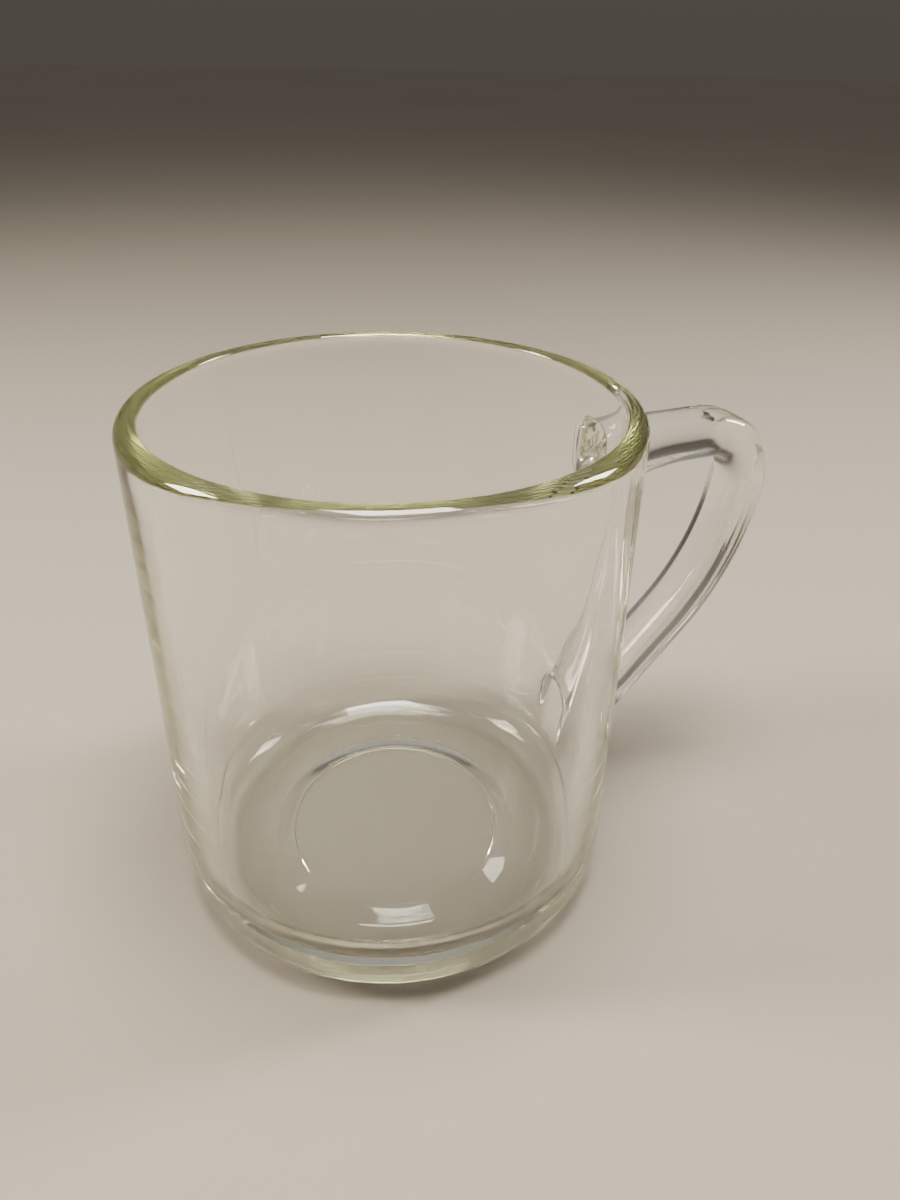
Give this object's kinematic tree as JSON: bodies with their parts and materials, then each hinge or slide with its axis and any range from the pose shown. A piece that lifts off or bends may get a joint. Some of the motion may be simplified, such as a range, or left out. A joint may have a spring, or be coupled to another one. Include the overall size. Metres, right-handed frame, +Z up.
{
  "type": "handled glass drinking mug",
  "caption": "Straight-walled glass drinking mug with a rounded rim, a rounded heel, a recessed foot and a hooked bar handle fused to one side.",
  "frame": {"origin": "on the cup's axis, on the plane that the foot rests on", "axes": "+Z up along the cup's axis, +X towards the handle, +Y to the left when looking along +X"},
  "size_m": [0.1192, 0.0836, 0.093],
  "materials": {
    "cup_glass": "fire-polished clear soda-lime glass with a faint yellow-green tint in the thick parts",
    "handle_glass": "fire-polished clear soda-lime glass, nearly colourless"
  },
  "bodies": {
    "root": {"cup_body": "cup_glass", "handle": "handle_glass"}
  },
  "joints": []
}
